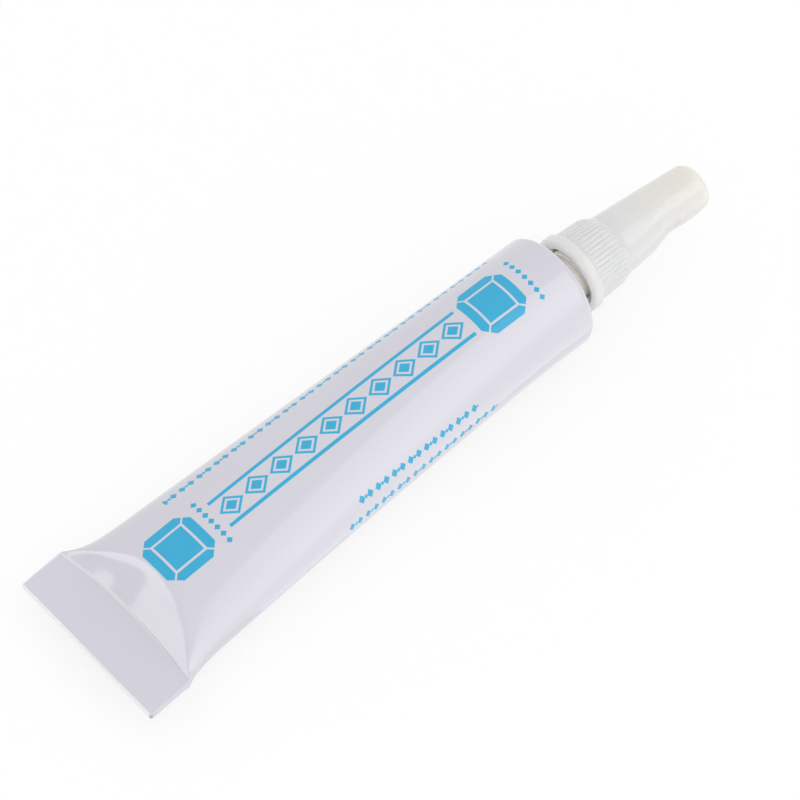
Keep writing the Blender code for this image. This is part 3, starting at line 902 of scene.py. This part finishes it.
class Field:
    """A number that varies over a surface: arithmetic on it adds Math nodes to a material."""

    def __init__(self, tree, socket):
        self.tree = tree
        self.socket = socket

    def math(self, operation, *others, clamp=False):
        node = self.tree.nodes.new("ShaderNodeMath")
        node.operation = operation
        node.use_clamp = clamp
        for place, value in enumerate((self,) + others):
            if isinstance(value, Field):
                self.tree.links.new(value.socket, node.inputs[place])
            else:
                node.inputs[place].default_value = value
        return Field(self.tree, node.outputs[0])

    def __add__(self, other):
        return self.math("ADD", other)

    def __sub__(self, other):
        return self.math("SUBTRACT", other)

    def __mul__(self, other):
        return self.math("MULTIPLY", other)

    def __truediv__(self, other):
        return self.math("DIVIDE", other)

    def __abs__(self):
        return self.math("ABSOLUTE")

    def either(self, other):
        return self.math("MAXIMUM", other)

    def both(self, other):
        return self.math("MINIMUM", other)

    def below(self, limit, edge):
        """1 where the number is under the limit, 0 over it, with a soft edge."""
        return self.math("MULTIPLY_ADD", -1 / edge, limit / edge + 0.5, clamp=True)

    def above(self, limit, edge):
        return self.math("MULTIPLY_ADD", 1 / edge, 0.5 - limit / edge, clamp=True)

    def clamped(self):
        return self.math("ADD", 0.0, clamp=True)

    def from_middle(self, pitch):
        """Distance from the middle of the cell, where the number is cut into cells of a pitch."""
        return abs(self.math("WRAP", pitch / 2, -pitch / 2))


def new_material(name):
    material = bpy.data.materials.new(name)
    material.use_nodes = True
    tree = material.node_tree
    return material, tree, tree.nodes["Principled BSDF"]


def object_place(tree):
    return tree.nodes.new("ShaderNodeTexCoord").outputs["Object"]


def axis_field(tree, vector, axis):
    split = tree.nodes.new("ShaderNodeSeparateXYZ")
    tree.links.new(vector, split.inputs[0])
    return Field(tree, split.outputs[axis])


def stretched(tree, vector, scale):
    mapping = tree.nodes.new("ShaderNodeMapping")
    mapping.inputs["Scale"].default_value = scale
    tree.links.new(vector, mapping.inputs["Vector"])
    return mapping.outputs["Vector"]


def noise(tree, vector, scale, detail=3.0):
    node = tree.nodes.new("ShaderNodeTexNoise")
    node.inputs["Scale"].default_value = scale
    node.inputs["Detail"].default_value = detail
    tree.links.new(vector, node.inputs["Vector"])
    return Field(tree, node.outputs["Fac"])


def mixed(tree, share, first, second):
    """A colour between two: each is a colour or another mix."""
    node = tree.nodes.new("ShaderNodeMix")
    node.data_type = "RGBA"
    tree.links.new(share.socket, node.inputs["Factor"])
    for socket, colour in ((node.inputs["A"], first), (node.inputs["B"], second)):
        if isinstance(colour, tuple):
            socket.default_value = (*colour, 1.0)
        else:
            tree.links.new(colour, socket)
    return node.outputs["Result"]


def bump(tree, shader, height, distance):
    node = tree.nodes.new("ShaderNodeBump")
    node.inputs["Distance"].default_value = distance
    tree.links.new(height.socket, node.inputs["Height"])
    tree.links.new(node.outputs["Normal"], shader.inputs["Normal"])


def between(field, low, high):
    """The number put into a narrower range."""
    return field.math("MULTIPLY_ADD", high - low, low)


def sheet_place(tree):
    """Millimetres along the tube from its tail, and round it from its top line."""
    sheet = tree.nodes.new("ShaderNodeUVMap")
    sheet.uv_map = "sheet"
    along = axis_field(tree, sheet.outputs["UV"], 0) * SHEET_SCALE
    round_top = (axis_field(tree, sheet.outputs["UV"], 1) - 0.5) * SHEET_SCALE
    return along, round_top


def label_ink(along, round_top):
    """1 where the label is printed: rules with a row of lozenges, panels like cut stones, rows of beads."""
    drift = along.math("MULTIPLY_ADD", LABEL_DRIFT, LABEL_CENTRE - LABEL_MIDDLE * LABEL_DRIFT)
    across = round_top - drift
    off_centre = abs(across)

    half_length = (RULE_TO - RULE_FROM) / 2
    off_middle = abs(along - (RULE_FROM + half_length))
    in_rules = off_middle.below(half_length, INK_EDGE)
    ink = abs(off_centre - RULE_OFFSET).below(RULE_HALF_WIDTH, INK_EDGE).both(in_rules)

    cell = (along - RULE_FROM).math("ADD", -half_length / LOZENGES).from_middle(2 * half_length / LOZENGES)
    lozenge = cell / LOZENGE_HALF_LENGTH + off_centre / LOZENGE_HALF_HEIGHT
    rim = abs(lozenge - LOZENGE_LINE).above(LOZENGE_LINE_HALF_WIDTH, INK_EDGE)
    stone = lozenge.below(1.0, INK_EDGE).both(rim)
    ink = ink.either(stone.both(in_rules))

    for place in PANEL_PLACES:
        ink = ink.either(panel_ink(along - place, off_centre))
    for start, end, row in BEAD_ROWS:
        ink = ink.either(bead_row(along - (start + end) / 2, across - row, (end - start) / 2))
    for place in CROSS_ROWS:
        bead = abs(along - place) / CROSS_BEAD + across.from_middle(CROSS_PITCH) / CROSS_BEAD
        ink = ink.either(bead.below(1.0, 2 * INK_EDGE).both(off_centre.below(CROSS_HALF_WIDTH, INK_EDGE)))
    return ink


def panel_ink(from_middle, off_centre):
    """A filled panel like a step-cut stone seen from above, with its facet lines left white."""
    length = abs(from_middle) - PANEL_HALF_LENGTH
    width = off_centre - PANEL_HALF_WIDTH
    outline = length.either(width).either(length + width + PANEL_CHAMFER)
    panel = outline.below(0.0, INK_EDGE)
    table = abs(outline + PANEL_TABLE).above(PANEL_LINE, INK_EDGE)
    facets = abs(length - width).above(PANEL_LINE, INK_EDGE).either(outline.below(-PANEL_TABLE, INK_EDGE))
    return panel.both(table).both(facets)


def bead_row(from_middle, across, half_length):
    """A row of long and short beads."""
    bead = from_middle.from_middle(BEAD_PITCH) / BEAD_HALF_LENGTH + abs(across) / BEAD_HALF_HEIGHT
    dot = (from_middle + BEAD_PITCH / 2).from_middle(2 * BEAD_PITCH) / (BEAD_HALF_LENGTH * BEAD_DOT_SHARE)
    dot = dot + abs(across) / (BEAD_HALF_HEIGHT * BEAD_DOT_SHARE)
    row = bead.both(dot).below(1.0, 2 * INK_EDGE)
    return row.both(abs(from_middle).below(half_length, INK_EDGE))


def painted_fold_highlights(along, round_top):
    """1 along the fold's painted highlight lines: its tail edge, its far end and its upper inner edge."""
    share = round_top / (MM_PER_METRE * FOLD_HALF_WIDTH)
    line = MM_PER_METRE * EDGE_LINE
    depth = MM_PER_METRE * FOLD_DEPTH
    bow_top = MM_PER_METRE * (FOLD_DEPTH + FOLD_BOW - EDGE_LINE / 2)
    bow = (share * share).math("MULTIPLY_ADD", -MM_PER_METRE * FOLD_BOW, bow_top)
    tail = along.below(line, EDGE_SOFT)
    far_end = abs(share + 1.0).below(END_LINE, END_LINE).both(along.below(depth, EDGE_SOFT))
    inner = abs(along - bow).below(line, INNER_LINE_SOFT)
    inner = inner.both(abs(share).below(INNER_LINE_END, END_LINE))
    inner = inner.both(share.below(INNER_LINE_FADE_AT, INNER_LINE_FADE))
    return tail.either(far_end * END_LINE_WEIGHT).either(inner * INNER_LINE_WEIGHT)


def worn_places(tree, place, along, round_top):
    """1 in a few specks on the near end of the fold, and at its chipped outer corner."""
    on_fold = along.below(MM_PER_METRE * FOLD_DEPTH, WORN_SOFT).both(round_top.above(WORN_FROM, WORN_FADE))
    specks = noise(tree, place, SPECK_SCALE, detail=2.0).above(SPECK_LIMIT, SPECK_EDGE).both(on_fold)
    corner = abs(round_top - MM_PER_METRE * FOLD_HALF_WIDTH) + along
    return specks.either(corner.below(CHIP_SIZE, CHIP_EDGE))


def lacquer_material():
    material, tree, shader = new_material("white_lacquer")
    place = object_place(tree)
    cloud = noise(tree, place, LACQUER_CLOUD)
    fine = noise(tree, place, LACQUER_FINE, detail=5.0)
    coat = mixed(tree, between(cloud, *LACQUER_CLOUD_RANGE), LACQUER, LACQUER_SHADE)
    along, round_top = sheet_place(tree)
    ink = label_ink(along, round_top)
    print_colour = mixed(tree, noise(tree, place, INK_CLOUD), INK, INK_THIN)
    printed = mixed(tree, ink * INK_COVER, coat, print_colour)
    # The fold's rounded edges get a painted highlight colour
    highlighted = mixed(tree, painted_fold_highlights(along, round_top), printed, PAINTED_EDGE_HIGHLIGHT)
    final = mixed(tree, worn_places(tree, place, along, round_top), highlighted, BARE_METAL)
    tree.links.new(final, shader.inputs["Base Color"])
    tree.links.new(between(fine, *LACQUER_ROUGHNESS).socket, shader.inputs["Roughness"])
    tree.links.new(between(ink, LACQUER_COAT, 0.0).socket, shader.inputs["Coat Weight"])
    shader.inputs["Coat Roughness"].default_value = LACQUER_COAT_ROUGHNESS
    peel = noise(tree, place, LACQUER_PEEL, detail=2.0) + ink * INK_RISE
    bump(tree, shader, peel, LACQUER_BUMP)
    return material


def neck_material():
    """Bare aluminium with fine turning lines: bright on the thread, frosted below it."""
    material, tree, shader = new_material("bare_aluminium")
    place = object_place(tree)
    lines = noise(tree, stretched(tree, place, NECK_LINES), 1.0, detail=2.0)
    smear = noise(tree, place, NECK_SMEAR, detail=4.0)
    worn = (lines + smear) * 0.5
    frosted = mixed(tree, worn, NECK_FROST_DULL, NECK_FROST)
    bright = mixed(tree, worn, NECK_METAL_DULL, NECK_METAL)
    on_thread = (axis_field(tree, place, 0) - NECK_X).above(NECK_FROST_TOP, 2 * THREAD_RUNOUT)
    tree.links.new(mixed(tree, on_thread, frosted, bright), shader.inputs["Base Color"])
    tree.links.new(between(on_thread, NECK_FROST_METALLIC, 1.0).socket, shader.inputs["Metallic"])
    tree.links.new(between(smear, *NECK_ROUGHNESS).socket, shader.inputs["Roughness"])
    bump(tree, shader, lines, NECK_BUMP)
    return material


def cap_material():
    """Milky plastic: greyer where the wall is thin over the hollow, warmer at the solid tip, with painted
    light in the shaded mouth under the lip.
    """
    material, tree, shader = new_material("milky_plastic")
    place = object_place(tree)
    height = axis_field(tree, place, 0) - CAP_X
    cloud = noise(tree, place, CAP_CLOUD, detail=4.0)
    up_shaft = (height - DOME_TOP) / (CAP_LENGTH - DOME_TOP)
    shaft = mixed(tree, (up_shaft + (cloud - 0.5) * CAP_MOTTLE).clamped(), CAP_FOOT, CAP_TIP)
    towards_far = axis_field(tree, place, 1) * OFF_TRUE.y + axis_field(tree, place, 2) * OFF_TRUE.z
    far_side = towards_far.above(AXIS_HEIGHT * OFF_TRUE.z + STAIN_SIDE, STAIN_SIDE_FADE)
    stain = noise(tree, place, STAIN_SCALE).above(STAIN_LIMIT, STAIN_EDGE)
    stain = stain.both(up_shaft.above(STAIN_FROM, STAIN_FADE)).both(far_side)
    stained = mixed(tree, stain * STAIN_WEIGHT, shaft, CAP_STAIN)
    lip = height.below(COLLAR_FOOT, CAP_LIP_FADE)
    across = axis_field(tree, place, 1) - COLLAR_SHIFT * OFF_TRUE.y
    over_axis = axis_field(tree, place, 2) - (AXIS_HEIGHT + COLLAR_SHIFT * OFF_TRUE.z)
    radius = (across * across + over_axis * over_axis).math("SQRT")
    inside_lip = radius.below(LIP_RADIUS - LIP_FOOT_ROUND / 2, LIP_FOOT_ROUND)
    # The mouth and the lip's underside are painted lighter, standing in for light in their shade
    mouth = inside_lip.both(height.below(MOUTH_DEPTH, MOUTH_ROUND))
    base = mixed(tree, mouth, mixed(tree, lip, stained, CAP_LIP), CAP_MOUTH_PAINTED_LIGHT)
    tree.links.new(base, shader.inputs["Base Color"])
    shader.inputs["Subsurface Weight"].default_value = CAP_SUBSURFACE
    shader.inputs["Subsurface Radius"].default_value = CAP_SUBSURFACE_RADIUS
    shader.inputs["Subsurface Scale"].default_value = CAP_SUBSURFACE_DEPTH
    tree.links.new(between(cloud, *CAP_ROUGHNESS).socket, shader.inputs["Roughness"])
    flow = noise(tree, stretched(tree, place, CAP_FLOW_LINES), 1.0)
    bump(tree, shader, noise(tree, place, CAP_GRAIN, detail=2.0) + flow, CAP_BUMP)
    return material


def hub_material():
    material, tree, shader = new_material("hub_plastic")
    place = object_place(tree)
    cloud = noise(tree, place, HUB_CLOUD, detail=4.0)
    tree.links.new(mixed(tree, cloud, HUB_SHADE, HUB_COLOUR), shader.inputs["Base Color"])
    shader.inputs["Subsurface Weight"].default_value = HUB_SUBSURFACE
    shader.inputs["Subsurface Scale"].default_value = HUB_SUBSURFACE_DEPTH
    tree.links.new(between(cloud, *HUB_ROUGHNESS).socket, shader.inputs["Roughness"])
    bump(tree, shader, noise(tree, place, HUB_GRAIN), HUB_BUMP)
    return material


def steel_material(name, colour, roughness):
    """Drawn steel: fine lines along the length and small dull patches."""
    material, tree, shader = new_material(name)
    place = object_place(tree)
    drawn = noise(tree, stretched(tree, place, STEEL_LINES), 1.0)
    dull = tuple(value * STEEL_DULL_SHARE for value in colour)
    tree.links.new(mixed(tree, drawn, dull, colour), shader.inputs["Base Color"])
    shader.inputs["Metallic"].default_value = 1.0
    worn = between(drawn, roughness - STEEL_SMOOTHER, roughness + STEEL_ROUGHER)
    tree.links.new(worn.socket, shader.inputs["Roughness"])
    bump(tree, shader, drawn, STEEL_BUMP)
    return material


def glue_material():
    material, tree, shader = new_material("clear_glue")
    place = object_place(tree)
    cloud = noise(tree, place, GLUE_CLOUD)
    tree.links.new(mixed(tree, cloud, GLUE, GLUE_PALE), shader.inputs["Base Color"])
    shader.inputs["Transmission Weight"].default_value = GLUE_CLEARNESS
    shader.inputs["IOR"].default_value = GLUE_IOR
    tree.links.new(between(cloud, *GLUE_ROUGHNESS).socket, shader.inputs["Roughness"])
    bump(tree, shader, noise(tree, place, GLUE_RIPPLE, detail=2.0), GLUE_BUMP)
    return material


def seen_share(tree):
    """1 for rays that see the background: straight, in a reflection or through glass."""
    path = tree.nodes.new("ShaderNodeLightPath")
    camera = Field(tree, path.outputs["Is Camera Ray"])
    glossy = Field(tree, path.outputs["Is Glossy Ray"])
    through = Field(tree, path.outputs["Is Transmission Ray"])
    return camera.either(glossy).either(through)


def floor_material():
    """Pale board: part of what is seen is an even white, the rest takes light and shadow."""
    material, tree, shader = new_material("pale_board")
    grain = noise(tree, object_place(tree), FLOOR_GRAIN_SCALE)
    tree.links.new(mixed(tree, grain, FLOOR, FLOOR_GRAIN), shader.inputs["Base Color"])
    shader.inputs["Roughness"].default_value = FLOOR_ROUGHNESS
    shader.inputs["Specular IOR Level"].default_value = 0.0
    glow = tree.nodes.new("ShaderNodeEmission")
    mix = tree.nodes.new("ShaderNodeMixShader")
    tree.links.new((seen_share(tree) * FLOOR_GLOW).socket, mix.inputs[0])
    tree.links.new(shader.outputs[0], mix.inputs[1])
    tree.links.new(glow.outputs[0], mix.inputs[2])
    tree.links.new(mix.outputs[0], tree.nodes["Material Output"].inputs["Surface"])
    return material


# Surroundings


def build_floor():
    corners = ((-1, -1), (1, -1), (1, 1), (-1, 1))
    points = [(x * FLOOR_REACH, y * FLOOR_REACH, FLOOR_HEIGHT) for x, y in corners]
    floor = add_object("floor", points, [(0, 1, 2, 3)])
    floor.data.materials.append(floor_material())


def build_world():
    world = bpy.data.worlds.new("white_studio")
    world.use_nodes = True
    bpy.context.scene.world = world
    tree = world.node_tree
    background = tree.nodes["Background"]
    background.inputs["Color"].default_value = (1.0, 1.0, 1.0, 1.0)
    strength = between(seen_share(tree), FILL_LIGHT, 1.0)
    tree.links.new(strength.socket, background.inputs["Strength"])


def add_panel(name, size, radiance, place, turn):
    """A flat soft light that the camera itself doesn't see."""
    light = bpy.data.lights.new(name, "AREA")
    light.shape = "RECTANGLE"
    light.size, light.size_y = size
    light.energy = radiance * pi * light.size * light.size_y
    panel = bpy.data.objects.new(name, light)
    bpy.context.scene.collection.objects.link(panel)
    panel.location = place
    panel.rotation_euler = turn
    panel.visible_camera = False
    return panel


def build_panel(name, azimuth, elevation, distance, size, radiance, aside=0.0):
    """A panel that faces the object from a direction, moved aside in its own plane."""
    level = distance * cos(elevation)
    x = level * cos(azimuth) - aside * sin(azimuth)
    y = level * sin(azimuth) + aside * cos(azimuth)
    turn = (pi / 2 - elevation, 0.0, azimuth + pi / 2)
    return add_panel(name, size, radiance, (x, y, distance * sin(elevation)), turn)


def shade_card(light):
    """Shades the side card: dimmer to its top, to the floor, towards the tail and in its low far corner."""
    light.use_nodes = True
    tree = light.node_tree
    place = tree.nodes.new("ShaderNodeNewGeometry").outputs["Parametric"]
    up_card = tree.nodes.new("ShaderNodeValToRGB")
    shades = up_card.color_ramp
    shades.interpolation = "EASE"
    shades.elements.new(CARD_BRIGHTEST)
    for stop, share in zip(shades.elements, (CARD_FLOOR_SHARE, 1.0, CARD_TOP_SHARE)):
        stop.color = (share, share, share, 1.0)
    along = axis_field(tree, place, 0)
    up = axis_field(tree, place, 1)
    tree.links.new(up.socket, up_card.inputs["Fac"])
    far_end = along.above(CARD_CORNER_FROM, CARD_CORNER_FADE)
    corner = far_end.both(up.below(CARD_CORNER_TOP, CARD_CORNER_FADE))
    strength = between(along, CARD_TAIL_SHARE, 1.0) * Field(tree, up_card.outputs["Color"])
    strength = strength * between(corner, 1.0, CARD_CORNER_SHARE)
    tree.links.new(strength.socket, tree.nodes["Emission"].inputs["Strength"])


def build_side_lights():
    """A soft key light beside the tube, and two cards for its reflections: one upright, one on the floor."""
    side = -pi / 2
    elevation = pi / 2 - (SOFTBOX_EDGE_ANGLE + SOFTBOX_LOW_ANGLE) / 2
    spread_angle = (SOFTBOX_LOW_ANGLE - SOFTBOX_EDGE_ANGLE) / 2
    key_size = (SOFTBOX_LENGTH, 2 * KEY_DISTANCE * tan(spread_angle))
    key = build_panel("key_light", side, elevation, KEY_DISTANCE, key_size, KEY_RADIANCE)
    key.visible_glossy = False
    card_size = (CARD_TO_X - CARD_FROM_X, 2 * CARD_DISTANCE * tan(spread_angle))
    card_aside = (CARD_FROM_X + CARD_TO_X) / 2
    side_card = build_panel(
        "side_card", side, elevation, CARD_DISTANCE, card_size, CARD_RADIANCE, card_aside
    )
    shade_card(side_card.data)
    low_size = (LOW_CARD_TO_X - LOW_CARD_FROM_X, LOW_CARD_REACH)
    low_place = ((LOW_CARD_FROM_X + LOW_CARD_TO_X) / 2, -LOW_CARD_NEAR - LOW_CARD_REACH / 2, LOW_CARD_HEIGHT)
    low_card = add_panel("low_card", low_size, LOW_CARD_RADIANCE, low_place, (pi, 0.0, 0.0))
    for card in (side_card, low_card):
        card.visible_diffuse = False


def build_tail_card():
    """A card past the tail that only shows in reflections."""
    azimuth = (TAIL_CARD_FROM + TAIL_CARD_TO) / 2
    width = 2 * TAIL_CARD_DISTANCE * tan((TAIL_CARD_TO - TAIL_CARD_FROM) / 2)
    height = 2 * TAIL_CARD_DISTANCE * tan(TAIL_CARD_TOP / 2)
    tail_card = build_panel(
        "tail_card", azimuth, TAIL_CARD_TOP / 2, TAIL_CARD_DISTANCE, (width, height), TAIL_CARD_RADIANCE
    )
    tail_card.visible_diffuse = False


def build_camera():
    right = Vector((cos(CAMERA_AZIMUTH), sin(CAMERA_AZIMUTH), 0.0))
    back = Vector(
        (
            sin(CAMERA_AZIMUTH) * cos(CAMERA_ELEVATION),
            -cos(CAMERA_AZIMUTH) * cos(CAMERA_ELEVATION),
            sin(CAMERA_ELEVATION),
        )
    )
    up = back.cross(right)
    data = bpy.data.cameras.new("camera")
    data.sensor_width = CAMERA_SENSOR
    data.lens = CAMERA_LENS
    camera = bpy.data.objects.new("camera", data)
    bpy.context.scene.collection.objects.link(camera)
    turn = Matrix((right, up, back)).transposed().to_4x4()
    place = CAMERA_AIM + AIM_RIGHT * right + AIM_UP * up + CAMERA_DISTANCE * back
    camera.matrix_world = Matrix.Translation(place) @ turn
    bpy.context.scene.camera = camera


def clear_scene():
    for obj in list(bpy.data.objects):
        bpy.data.objects.remove(obj)


def settle(piece, body, node):
    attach(piece, body)
    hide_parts(node)


clear_scene()
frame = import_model()
bpy.context.scene.view_settings.view_transform = "Standard"

settle(build_tube(), "tube", "tube_body")
settle(build_hub(), "tube", "needle_hub")
settle(build_needle(), "tube", "dispensing_needle")
settle(build_wire(), "cap_pin", "cap_pin_wire")
settle(build_cap(), "cap", "screw_cap")
glue = frame["nodes"]["adhesive_fill"]
glue.data.materials.clear()
glue.data.materials.append(glue_material())

build_floor()
build_world()
build_side_lights()
build_tail_card()
build_camera()
